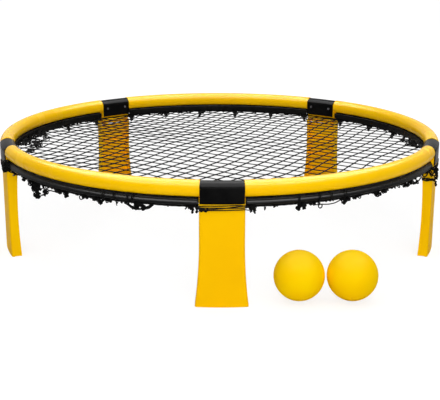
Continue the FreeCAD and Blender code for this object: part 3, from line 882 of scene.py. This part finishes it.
def edge_cord_line():
    """Chosen points of the cord all the way round, at the height of the net."""
    draw = random.Random(3)
    points = []
    for station, hooks in zip(STATIONS, RAIL_HOOKS):
        points += [from_station(station, reach, aside, NET_Z) for reach, aside in CORD_ROUND_BLOCK]
        for hook, following in zip(hooks, hooks[1:]):
            points.append(on_cord(hook))
            for share in (0.25, 0.5, 0.75):
                sag = CORD_SAG * 4 * share * (1 - share) * draw.uniform(*CORD_SAG_RANGE)
                points.append(polar(hook + (following - hook) * share, EDGE_CORD_RHO - sag,
                                    NET_Z - sag * CORD_DROP_SHARE))
        points.append(on_cord(hooks[-1]))
        points += [from_station(station + STATION_STEP, reach, -aside, NET_Z)
                   for reach, aside in reversed(CORD_ROUND_BLOCK[1:])]
    return points


def add_edge_cord():
    surface = Surface()
    line = smooth_line(edge_cord_line(), CORD_STEP, loop=True)
    past_block = np.hypot(line[:, 0], line[:, 1]) - BLOCK_CORD_RHO
    pressed = np.clip(past_block / BLOCK_CORD_FADE, 0, 1)
    radii = EDGE_CORD_RADIUS * CORD_FIT * (1 - BLOCK_CORD_THINNING * pressed)
    add_strand(surface, line, radii, CORD_SIDES, loop=True, twist=CORD_TWIST,
               lobes=CORD_LOBES, lobe_depth=CORD_LOBE_DEPTH)
    surface.made("edge_cord", EDGE_CORD_FINISH, slot="net_cord", stands_for=["net_edge_cord"])


add_edge_cord()

# Ties where each twine ends on the edge cord, and turns of twine on the hooks
TIE_RADIUS = 0.0029
TIE_LEAN = 0.00105
RING_TURNS = np.radians(np.arange(0, 360, 30))
WRAPS_PER_HOOK = 6
WRAP_TOP_Z = 0.1842
WRAP_STEP_Z = 0.0016
WRAP_SHAKE = 0.0004
WRAP_TILT = 0.0016
WRAP_TILT_TURN = 0.6
WRAP_TAPER = 0.10
WRAP_RHO = 0.4402
WRAP_HALF_DEPTH = 0.0038
WRAP_HALF_WIDTH = 0.0050
WRAP_THICKNESS = 1.1

TWINE_STEP = 0.0018
SMALL_RING_STEP = 0.0012


def add_twine(surface, points, thickness=1.0, step=TWINE_STEP, sides=6, loop=False):
    """Slack twine through chosen points, its thickness given against the usual one."""
    line = smooth_line(points, step, loop)
    add_strand(surface, line, TWINE_RADIUS * thickness, sides, loop)


def add_ties(surface, draw):
    for x, y, _ in net_ends:
        angle = degrees(atan2(y, x))
        if beside_block(angle):
            continue
        lean = draw.uniform(-TIE_LEAN, TIE_LEAN)
        ring = [polar(angle + degrees(lean * sin(turn) / EDGE_CORD_RHO),
                      EDGE_CORD_RHO + TIE_RADIUS * cos(turn),
                      NET_Z + TIE_RADIUS * sin(turn)) for turn in RING_TURNS]
        add_strand(surface, ring, TWINE_RADIUS, loop=True)


def add_hook_wraps(surface, draw):
    """Turns of twine round each hook's prong, narrower towards its foot."""
    for angle in ALL_HOOKS:
        for number in range(WRAPS_PER_HOOK):
            height = WRAP_TOP_Z - number * WRAP_STEP_Z + draw.uniform(-WRAP_SHAKE, WRAP_SHAKE)
            tilt = draw.uniform(-WRAP_TILT, WRAP_TILT)
            fat = 1 - WRAP_TAPER * number
            ring = [from_station(angle, WRAP_RHO + WRAP_HALF_DEPTH * cos(turn) * fat,
                                 WRAP_HALF_WIDTH * sin(turn) * fat,
                                 height + tilt * sin(turn + WRAP_TILT_TURN))
                    for turn in RING_TURNS]
            add_twine(surface, ring, WRAP_THICKNESS, SMALL_RING_STEP, loop=True)


# Slack of the net: loops between two places on the edge cord
LOOPS_PER_HOOK = 3
LOOP_SPREAD = 0.5
LOOP_WIDTHS = (0.004, 0.012)
LOOP_RHO = 0.4435
LOOP_DROPS = (0.0036, 0.0080)
LOOP_WAVER = 0.35
LOOP_SWAY = 0.0035
LOOP_FULLNESS = 0.8
LOOP_SHARES = (0.0, 0.18, 0.38, 0.5, 0.64, 0.84, 1.0)


def add_hanging_loop(surface, draw, angle):
    start = angle + draw.uniform(-LOOP_SPREAD, LOOP_SPREAD)
    width = degrees(draw.uniform(*LOOP_WIDTHS) / LOOP_RHO) * draw.choice((-1, 1))
    depth = draw.uniform(*LOOP_DROPS)
    points = []
    for share in LOOP_SHARES:
        hang = sin(pi * share) ** LOOP_FULLNESS
        place = start + width * share + draw.uniform(-LOOP_WAVER, LOOP_WAVER) * hang
        reach = LOOP_RHO + draw.uniform(-LOOP_SWAY, LOOP_SWAY) * hang
        points.append(polar(place, reach, NET_Z - depth * hang))
    add_twine(surface, points)


# Curls and bunches of them
CURL_POINTS = 7
CURL_REACHES = (0.7, 1.25)
CURL_SIZES = (0.5, 1.0)
BUNCH_DEPTH = 0.0030
BUNCH_FOOT = 0.15
BUNCH_CURL_MOST = 0.0026
BUNCH_CURL_LEAST = 0.0006
BUNCH_CURL_SHARE = 0.45
BUNCH_CURL_SIZES = (0.55, 1.0)
BUNCH_TUMBLE = 2.0


def add_closed_curl(surface, draw, middle, radius, tumble):
    """A small uneven closed loop; a larger tumble turns it further from lying flat."""
    normal = Vector((draw.gauss(0, tumble), draw.gauss(0, tumble), 1)).normalized()
    across = np.array(normal.orthogonal().normalized())
    other = np.cross(np.array(normal), across)
    points = []
    for turn in np.arange(CURL_POINTS) * 2 * pi / CURL_POINTS:
        reach = radius * draw.uniform(*CURL_REACHES)
        points.append(middle + across * reach * cos(turn) + other * reach * sin(turn))
    add_twine(surface, points, loop=True)


def add_bunch(surface, draw, middle, wide, tall, count, taper):
    """Small loops crowded in a lump that gets narrower towards its foot by the taper."""
    largest = min(BUNCH_CURL_MOST, BUNCH_CURL_SHARE * wide + BUNCH_CURL_LEAST)
    for _ in range(count):
        level = draw.uniform(-1, 1)
        room = sqrt(1 - level ** 2) * (1 - taper) + (BUNCH_FOOT + (1 + level) / 2) * taper
        offset = np.array([wide * draw.uniform(-1, 1) * room,
                           BUNCH_DEPTH * draw.uniform(-1, 1) * room, tall * level])
        size = largest * draw.uniform(*BUNCH_CURL_SIZES)
        add_closed_curl(surface, draw, middle + offset, size, BUNCH_TUMBLE)


# Twines from the edge cord down to a lump that hangs lower than FEEDER_DROP
FEEDER_DROP = 0.010
FEEDERS_PER_LUMP = 5
FEEDER_SPREAD = 1.3
FEEDER_SHAKE = 0.0012
FEEDER_END_SHAKE = 0.0015


def add_feeders(surface, draw, angle, middle):
    for _ in range(FEEDERS_PER_LUMP):
        start = on_cord(angle + draw.uniform(-FEEDER_SPREAD, FEEDER_SPREAD))
        shake = np.array([draw.gauss(0, FEEDER_SHAKE) for _ in range(3)])
        end = middle + np.array([draw.gauss(0, FEEDER_END_SHAKE) for _ in range(3)])
        add_twine(surface, [start, (start + end) / 2 + shake, end])


def add_tangle(surface, draw, station, reaches, asides, heights, count):
    """Twines that wander over one face of a block, along the longer of its two ways."""
    along_reach = abs(reaches[1] - reaches[0]) > abs(asides[1] - asides[0])
    for _ in range(count):
        points = []
        for share in (0.0, 0.25, 0.5, 0.75, 1.0):
            reach, aside = draw.uniform(*reaches), draw.uniform(*asides)
            if along_reach:
                reach = reaches[0] + (reaches[1] - reaches[0]) * share
            else:
                aside = asides[0] + (asides[1] - asides[0]) * share
            points.append(from_station(station, reach, aside, draw.uniform(*heights)))
        add_twine(surface, points)


# Lumps of slack under the rim. Points picked in the photograph were
# brought to an angle and a drop through the camera. Angle, how far the middle
# hangs, half width, half height, number of loops and taper
BUNCHES = [
    (208.0, 0.004, 0.006, 0.003, 6, 0.0),
    (213.0, 0.003, 0.007, 0.0025, 6, 0.0),
    (218.9, 0.004, 0.012, 0.004, 16, 0.0),
    (218.3, 0.013, 0.0055, 0.0055, 11, 0.0),
    (220.6, 0.014, 0.006, 0.0045, 5, 0.0),
    (220.0, 0.0245, 0.0085, 0.0045, 28, 0.0),
    (223.3, 0.0135, 0.0055, 0.006, 10, 0.0),
    (229.3, 0.003, 0.007, 0.003, 10, 0.0),
    (231.0, 0.0065, 0.0045, 0.004, 14, 0.0),
    (237.5, 0.003, 0.009, 0.002, 8, 0.0),
    (241.3, 0.0055, 0.009, 0.0055, 26, 1.0),
    (243.6, 0.003, 0.008, 0.002, 7, 0.0),
    (245.7, 0.0045, 0.0016, 0.0045, 5, 0.0),
    (250.3, 0.0105, 0.005, 0.0015, 7, 0.0),
    (252.3, 0.0085, 0.006, 0.0035, 11, 0.0),
    (262.4, 0.003, 0.0045, 0.002, 6, 0.0),
    (263.4, 0.006, 0.0017, 0.0062, 14, 0.0),
    (264.4, 0.006, 0.0017, 0.0062, 14, 0.0),
    (276.3, 0.006, 0.0017, 0.0062, 14, 0.0),
    (277.2, 0.006, 0.0017, 0.0067, 14, 0.0),
    (279.5, 0.0045, 0.0012, 0.003, 4, 0.0),
    (287.3, 0.0065, 0.0032, 0.006, 14, 0.0),
    (288.6, 0.006, 0.0032, 0.006, 14, 0.0),
    (291.0, 0.0045, 0.006, 0.0015, 5, 0.0),
    (299.0, 0.0055, 0.0085, 0.0058, 26, 1.0),
    (302.5, 0.0035, 0.007, 0.002, 7, 0.0),
    (309.3, 0.0055, 0.007, 0.0035, 15, 0.4),
    (320.8, 0.0055, 0.0065, 0.003, 13, 0.0),
    (326.0, 0.008, 0.007, 0.003, 9, 0.0),
]

# The lump at each hook of the three rails at the back: distance from the axis
# and height, then half width, half height, number of loops and taper
BACK_RAILS = (1, 2, 3)
HOOK_LUMP_PLACE = (0.44, 0.175)
HOOK_LUMP_SHAKE = 0.3
HOOK_LUMP_WIDTHS = (0.7, 1.1)
HOOK_LUMP_HEIGHTS = (0.75, 1.1)
HOOK_LUMP = (0.0046, 0.0085, 22, 0.5)

# Bits of twine along the whole edge of the net
EDGE_CURL_COUNT = 300
EDGE_CURL_SIZE = 0.0028
EDGE_CURL_RHOS = (0.4385, 0.4435)
EDGE_CURL_HEIGHTS = (0.1765, 0.183)
EDGE_CURL_TUMBLE = 1.0

# Single strands under the rim: thickness against the twine's, then places as
# an angle and how far it hangs
STRANDS = [
    (1.5, [(215.0, 0.004), (217.3, 0.011), (219.0, 0.02)]),
    (1.3, [(222.0, 0.002), (222.8, 0.008), (223.6, 0.016), (221.6, 0.022)]),
    (1.2, [(223.8, 0.012), (225.2, 0.0075), (227.0, 0.0065), (228.6, 0.002)]),
    (1.6, [(247.6, 0.003), (248.6, 0.0065), (249.5, 0.011), (250.6, 0.0125), (252.0, 0.011),
           (253.4, 0.009), (254.4, 0.003)]),
    (1.3, [(248.4, 0.003), (249.6, 0.009), (251.2, 0.012), (252.8, 0.008), (254.0, 0.003)]),
    (1.0, [(290.2, 0.004), (291.5, 0.0062), (293.0, 0.0066), (294.8, 0.008), (296.6, 0.007),
           (298.4, 0.002)]),
    (1.2, [(321.5, 0.006), (324.5, 0.0095), (328.0, 0.011), (331.0, 0.006)]),
]

# Small open rings under the rim: angle, how far the middle hangs and radius
RINGS = [(235.8, 0.0062, 0.0036), (292.7, 0.0095, 0.0036)]

# Twines wound over the rail's outer side: their angles
RAIL_TURNS = [242.9, 245.7, 249.0, 250.0, 287.0, 291.9, 294.8, 298.5]
RAIL_TURN_LEAN = 0.25
RAIL_TURN_THICKNESS = 1.2
# The places of such a twine: share of the lean, how far behind the rail's side, height
RAIL_TURN_PLACES = [(1, 0.004, 0.1805), (1, 0.0012, 0.185), (0, 0.0, 0.19),
                    (-1, 0.0008, 0.196), (-1, 0.0036, 0.1988)]

# Twines over a block's faces: station, reaches, places aside, heights, number
TANGLES = [
    (4, (0.436, 0.461), (0.0405, 0.045), (0.175, 0.198), 34),
    (1, (0.433, 0.459), (-0.0416, -0.045), (0.156, 0.1625), 7),
    (1, (0.433, 0.459), (-0.0416, -0.045), (0.162, 0.19), 6),
    (0, (0.4572, 0.4592), (-0.0392, -0.0235), (0.1748, 0.1818), 8),
]

# Lumps on or beside a block: station, reach, aside, height, half width, half
# height, number of loops and taper
BLOCK_LUMPS = [
    (4, 0.459, 0.0425, 0.184, 0.004, 0.008, 24, 0.0),
    (1, 0.4598, -0.042, 0.173, 0.0032, 0.012, 26, 0.0),
    (1, 0.4606, -0.043, 0.1545, 0.0022, 0.008, 10, 1.0),
    (0, 0.447, -0.0414, 0.1885, 0.001, 0.006, 9, 0.0),
    (0, 0.447, 0.0414, 0.1885, 0.001, 0.006, 9, 0.0),
]


# Curls of slack inside the hoop: angle, spread, nearest and farthest distance
# from the axis, size and number
CURLS = [
    (165.0, 7.0, 0.42, 0.436, 0.006, 26),
    (174.5, 4.0, 0.424, 0.434, 0.005, 12),
    (178.0, 3.5, 0.382, 0.402, 0.006, 13),
    (186.0, 2.0, 0.392, 0.408, 0.005, 10),
    (170.0, 5.5, 0.396, 0.42, 0.008, 13),
    (3.0, 3.0, 0.412, 0.427, 0.006, 16),
    (11.0, 4.0, 0.408, 0.42, 0.005, 6),
]
CURL_RISES = (0.0, 0.008)
CURL_TUMBLE = 0.5


def add_lumps(surface, draw):
    for angle, drop, wide, tall, count, taper in BUNCHES:
        middle = on_cord(angle, drop)
        add_bunch(surface, draw, middle, wide, tall, count, taper)
        if drop > FEEDER_DROP:
            add_feeders(surface, draw, angle, middle)
    rho, height = HOOK_LUMP_PLACE
    wide, tall, count, taper = HOOK_LUMP
    for index in BACK_RAILS:
        for hook in RAIL_HOOKS[index]:
            this_tall = tall * draw.uniform(*HOOK_LUMP_HEIGHTS)
            shake = draw.uniform(-HOOK_LUMP_SHAKE, HOOK_LUMP_SHAKE)
            middle = polar(hook + shake, rho, height)
            this_wide = wide * draw.uniform(*HOOK_LUMP_WIDTHS)
            add_bunch(surface, draw, middle, this_wide, this_tall, count, taper)


def add_edge_curls(surface, draw):
    for _ in range(EDGE_CURL_COUNT):
        angle = draw.uniform(0, 360)
        middle = polar(angle, draw.uniform(*EDGE_CURL_RHOS), draw.uniform(*EDGE_CURL_HEIGHTS))
        if not beside_block(angle):
            size = EDGE_CURL_SIZE * draw.uniform(*CURL_SIZES)
            add_closed_curl(surface, draw, middle, size, EDGE_CURL_TUMBLE)


def add_strands_and_rings(surface):
    for thickness, places in STRANDS:
        points = [on_cord(angle, drop) for angle, drop in places]
        add_twine(surface, points, thickness, sides=8)
    for angle, drop, radius in RINGS:
        points = [on_cord(angle + degrees(radius * cos(turn) / EDGE_CORD_RHO),
                          drop - radius * sin(turn))
                  for turn in np.radians(np.arange(0, 360, 45))]
        add_twine(surface, points, step=SMALL_RING_STEP, loop=True)


def add_rail_turns(surface, draw):
    out = TUBE_RHO + RAIL_HALF_WIDTH + RAIL_BULGE + TWINE_RADIUS
    for angle in RAIL_TURNS:
        lean = draw.uniform(-RAIL_TURN_LEAN, RAIL_TURN_LEAN)
        points = [polar(angle + lean * share, out - behind, height)
                  for share, behind, height in RAIL_TURN_PLACES]
        add_twine(surface, points, RAIL_TURN_THICKNESS)


def add_inner_curls(surface, draw):
    for angle, spread, rho_low, rho_high, size, count in CURLS:
        for _ in range(count):
            middle = polar(angle + draw.uniform(-spread, spread), draw.uniform(rho_low, rho_high),
                           NET_Z + draw.uniform(*CURL_RISES))
            add_closed_curl(surface, draw, middle, size * draw.uniform(*CURL_SIZES), CURL_TUMBLE)


def add_slack():
    draw = random.Random(23)
    surface = Surface()
    add_ties(surface, draw)
    add_hook_wraps(surface, draw)
    surface.made("net_ties", TWINE_FINISH, slot="net_netting")
    surface = Surface()
    for angle in ALL_HOOKS:
        for _ in range(LOOPS_PER_HOOK):
            add_hanging_loop(surface, draw, angle)
    add_lumps(surface, draw)
    add_edge_curls(surface, draw)
    add_strands_and_rings(surface)
    add_rail_turns(surface, draw)
    for index, reaches, asides, heights, count in TANGLES:
        add_tangle(surface, draw, STATIONS[index], reaches, asides, heights, count)
    for index, reach, aside, height, wide, tall, count, taper in BLOCK_LUMPS:
        middle = from_station(STATIONS[index], reach, aside, height)
        add_bunch(surface, draw, middle, wide, tall, count, taper)
    add_inner_curls(surface, draw)
    surface.made("net_slack", TWINE_FINISH, slot="net_netting")


add_slack()

# Border twine behind each block and the twines that cross its face: reach and
# distance aside, from one end to the middle
TWINE_BEHIND_BLOCK = [(0.4446, 0.0480), (0.4412, 0.0440), (0.4378, 0.0400), (0.4374, 0.0200),
                      (0.4374, 0.0)]
TWINE_BEFORE_BLOCK = [(0.4470, 0.0470), (0.4505, 0.0428), (0.4548, 0.0385), (0.4570, 0.0250),
                      (0.4580, 0.0)]
BORDER_STEP = 0.003
BORDER_THICKNESS = 1.3
FRONT_TWINE_THICKNESS = 0.85
FRONT_TWINE_SHAKE = 0.0004
# How far each front twine lies above the net at its nine places, in millimetres
FRONT_TWINE_LIFTS = [
    (0.0, 1.0, 2.5, 3.4, 4.2, 5.0, 3.2, 0.0, -3.0),
    (0.0, -1.0, -3.0, -4.0, -3.8, -3.4, -3.8, -4.8, -6.0),
    (0.0, 0.0, -1.6, -2.6, -0.6, 2.0, 3.4, 1.5, -2.0),
]


def mirrored(half):
    return [(reach, -aside) for reach, aside in half] + half[-2::-1]


def add_border_twines():
    surface = Surface()
    draw = random.Random(31)
    for station in STATIONS:
        points = [from_station(station, reach, aside, NET_Z)
                  for reach, aside in mirrored(TWINE_BEHIND_BLOCK)]
        add_twine(surface, points, BORDER_THICKNESS, BORDER_STEP, sides=8)
        for lifts in FRONT_TWINE_LIFTS:
            points = []
            for (reach, aside), lift in zip(mirrored(TWINE_BEFORE_BLOCK), lifts):
                shake = draw.uniform(-FRONT_TWINE_SHAKE, FRONT_TWINE_SHAKE)
                points.append(from_station(station, reach, aside, NET_Z + lift / 1000 + shake))
            add_twine(surface, points, FRONT_TWINE_THICKNESS, BORDER_STEP, sides=8)
    surface.made("net_border_twines", TWINE_FINISH, slot="net_netting")


add_border_twines()

# Balls
BALL_RADIUS = 0.0457
BALL_SEAM_WIDTH = 0.0006
BALL_SEAM_RISE = 0.00012
BALL_SIDES = 160
BALL_ROWS = 120
BALL_HOLE_RADIUS = 0.0036
BALL_FAR_HOLE = 0.02
# The dimple round the valve: its depth, then its width and its rows' step as angles
DIMPLE_DEPTH = 0.00025
DIMPLE_WIDTH = 0.006
DIMPLE_STEP = 0.003
DIMPLE_ROWS = 4


def add_ball(side):
    low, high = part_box("ball_" + side)
    centre = np.array((low + high) / 2)
    valve_low, valve_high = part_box("ball_valve_" + side)
    pole = np.array((valve_low + valve_high) / 2) - centre
    pole /= np.linalg.norm(pole)
    across = np.cross(pole, [0.0, 0.0, 1.0])
    across /= np.linalg.norm(across)
    other = np.cross(pole, across)
    turns = np.arange(BALL_SIDES) * 2 * pi / BALL_SIDES
    ring = np.cos(turns)[:, None] * across + np.sin(turns)[:, None] * other
    hole = asin(BALL_HOLE_RADIUS / BALL_RADIUS)
    dimple = hole + DIMPLE_STEP * np.arange(DIMPLE_ROWS)
    wall = np.linspace(hole + DIMPLE_STEP * DIMPLE_ROWS, pi - BALL_FAR_HOLE, BALL_ROWS)
    rows = []
    for angle in [*dimple, *wall]:
        seam = exp(-((angle - pi / 2) * BALL_RADIUS / BALL_SEAM_WIDTH) ** 2)
        dip = DIMPLE_DEPTH * exp(-((angle - hole) / DIMPLE_WIDTH) ** 2)
        radius = BALL_RADIUS - BALL_SEAM_RISE * (1 - seam) - dip
        rows.append(centre + radius * (cos(angle) * pole + sin(angle) * ring))
    surface = Surface()
    surface.closed_run(rows)
    surface.made("ball_shell_" + side, BALL_FINISH, body="ball_" + side, slot="ball_skin",
                 stands_for=["ball_" + side], mend_normals=True)


for side in SIDES:
    add_ball(side)

# Floor, light and background
WHITE = (1.0, 1.0, 1.0, 1.0)
FLOOR_TONE = (0.78, 0.78, 0.78)
FLOOR_CLOUDS = 0.02
FLOOR_SEEN_TONE = (0.26, 0.26, 0.26)
FLOOR_GLOW = 0.80
FLOOR_HALF = 12.0
FLOOR_Z = -0.0005
# Where the floor's glow begins to rise to full, and where it is full
GLOW_NEAR = 0.6
GLOW_FAR = 2.4
AMBIENT = 0.04


def floor_material():
    """A pale floor; seen directly, it glows to white and keeps a faint shadow."""
    finish = Finish("floor", FLOOR_TONE, 0.7)
    finish.set("Specular IOR Level", 0.0)
    darker = tuple(c - FLOOR_CLOUDS for c in FLOOR_TONE)
    lighter = tuple(c + FLOOR_CLOUDS for c in FLOOR_TONE)
    finish.colour(finish.mix(finish.noise(3.0), darker, lighter))
    split = finish.node("ShaderNodeSeparateXYZ", {0: finish.place}).outputs
    squares = [finish.sums("MULTIPLY", split[way], split[way]) for way in "XY"]
    away = finish.sums("SQRT", finish.sums("ADD", *squares))
    strength = finish.spread(away, GLOW_NEAR, GLOW_FAR, FLOOR_GLOW, 1.0)
    glow = finish.node("ShaderNodeEmission", {"Color": WHITE, "Strength": strength})
    dim = finish.node("ShaderNodeBsdfDiffuse", {"Color": (*FLOOR_SEEN_TONE, 1)})
    seen = finish.node("ShaderNodeAddShader", {0: dim.outputs[0], 1: glow.outputs[0]})
    path = finish.node("ShaderNodeLightPath").outputs
    finish.show("Material Output", path["Is Camera Ray"], finish.shader, seen)
    return finish.material


def add_floor():
    mesh = bpy.data.meshes.new("floor")
    corners = [(-1, -1), (1, -1), (1, 1), (-1, 1)]
    mesh.from_pydata([(x * FLOOR_HALF, y * FLOOR_HALF, FLOOR_Z) for x, y in corners], [],
                     [(0, 1, 2, 3)])
    mesh.materials.append(floor_material())
    added("floor", mesh)


def add_area_light(name, place, target, width, depth, power, only_reflected=False):
    data = bpy.data.lights.new(name, "AREA")
    data.shape = "RECTANGLE"
    data.size = width
    data.size_y = depth
    data.energy = power
    light = added(name, data)
    light.location = place
    light.rotation_euler = (Vector(target) - Vector(place)).to_track_quat("-Z", "Y").to_euler()
    light.visible_diffuse = not only_reflected


def set_world():
    """White where it is seen or reflected, and faint as a light."""
    world = bpy.data.worlds.new("studio")
    shading = Shading(world)
    faint = shading.tree.nodes["Background"]
    shading.feed(faint.inputs["Color"], WHITE)
    shading.feed(faint.inputs["Strength"], AMBIENT)
    seen = shading.node("ShaderNodeBackground", {"Color": WHITE})
    path = shading.node("ShaderNodeLightPath").outputs
    share = path["Is Camera Ray"]
    for kind in ("Is Glossy Ray", "Is Transmission Ray"):
        share = shading.sums("MAXIMUM", share, path[kind])
    shading.show("World Output", share, faint, seen)
    bpy.context.scene.world = world


add_floor()
add_area_light("softbox_above", place=(0.0, -0.1, 2.2), target=(0.0, -0.1, 0.1),
               width=4.4, depth=4.4, power=86.0)
add_area_light("softbox_front", place=(0.2, -3.1, 1.2), target=(0.0, 0.0, 0.1),
               width=1.8, depth=1.0, power=42.0)
# A wide screen overhead that shows only as gloss
add_area_light("gloss_above", place=(0.0, -0.3, 2.1), target=(0.0, -0.3, 0.1),
               width=4.2, depth=3.9, power=1250.0, only_reflected=True)
set_world()
bpy.context.scene.view_settings.view_transform = "Standard"
